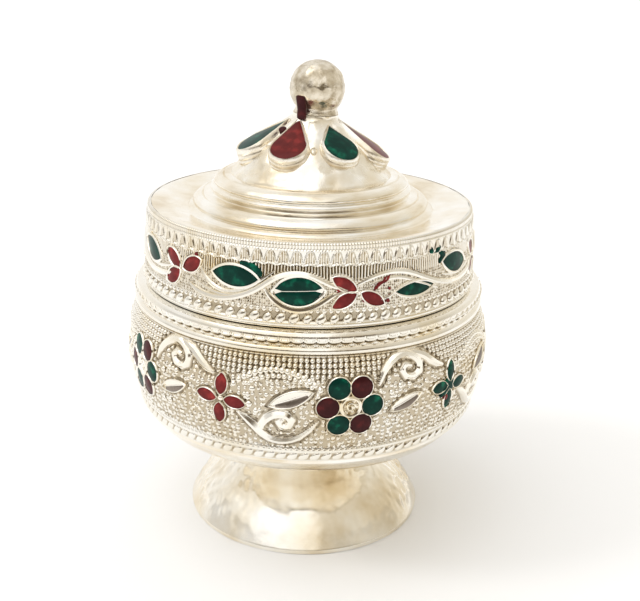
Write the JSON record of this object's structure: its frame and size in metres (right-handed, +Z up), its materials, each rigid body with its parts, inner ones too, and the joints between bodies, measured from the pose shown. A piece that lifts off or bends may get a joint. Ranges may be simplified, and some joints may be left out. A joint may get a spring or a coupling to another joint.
{
  "type": "kumkum box",
  "caption": "Round footed box for kumkum powder: a bulging embossed bowl on a bell-shaped foot, with a lift-off lid topped by an enamelled flower and a ball knob.",
  "frame": {"origin": "centre of the foot's resting rim", "axes": "+Z up the axis of the box, -Y towards the front, +X to the right seen from the front"},
  "size_m": [0.0475, 0.0474, 0.0604],
  "materials": {
    "silver_plate": "silver plated, embossed and softly polished",
    "green_enamel": "glossy deep green enamel",
    "red_enamel": "glossy dark red enamel"
  },
  "bodies": {
    "bowl": {"foot": "silver_plate", "base_dish": "silver_plate", "bowl_wall": "silver_plate", "neck_collar": "silver_plate", "quatrefoil_1": "red_enamel", "quatrefoil_2": "green_enamel", "quatrefoil_3": "red_enamel", "quatrefoil_4": "green_enamel", "quatrefoil_5": "red_enamel", "rosette_green_1": "green_enamel", "rosette_green_2": "green_enamel", "rosette_green_3": "green_enamel", "rosette_green_4": "green_enamel", "rosette_green_5": "green_enamel", "rosette_red_1": "red_enamel", "rosette_red_2": "red_enamel", "rosette_red_3": "red_enamel", "rosette_red_4": "red_enamel", "rosette_red_5": "red_enamel"},
    "lid": {"lid_band": "silver_plate", "lid_top": "silver_plate", "finial_flower": "silver_plate", "finial_knob": "silver_plate", "finial_screw": "silver_plate", "broad_leaf_1": "green_enamel", "broad_leaf_2": "green_enamel", "broad_leaf_3": "green_enamel", "high_blossom_1": "red_enamel", "high_blossom_2": "red_enamel", "high_blossom_3": "red_enamel", "high_leaf_left_1": "green_enamel", "high_leaf_left_2": "green_enamel", "high_leaf_left_3": "green_enamel", "high_leaf_right_1": "green_enamel", "high_leaf_right_2": "green_enamel", "high_leaf_right_3": "green_enamel", "low_blossom_1": "red_enamel", "low_blossom_2": "red_enamel", "low_blossom_3": "red_enamel", "petal_enamel_1": "red_enamel", "petal_enamel_2": "green_enamel", "petal_enamel_3": "red_enamel", "petal_enamel_4": "green_enamel", "petal_enamel_5": "red_enamel", "petal_enamel_6": "green_enamel", "slim_leaf_1": "green_enamel", "slim_leaf_2": "green_enamel", "slim_leaf_3": "green_enamel"}
  },
  "joints": [
    {"name": "lid_lift", "type": "slide", "parent": "bowl", "child": "lid", "axis": [0, 0, 1], "range_m": [0, 0.03]}
  ]
}
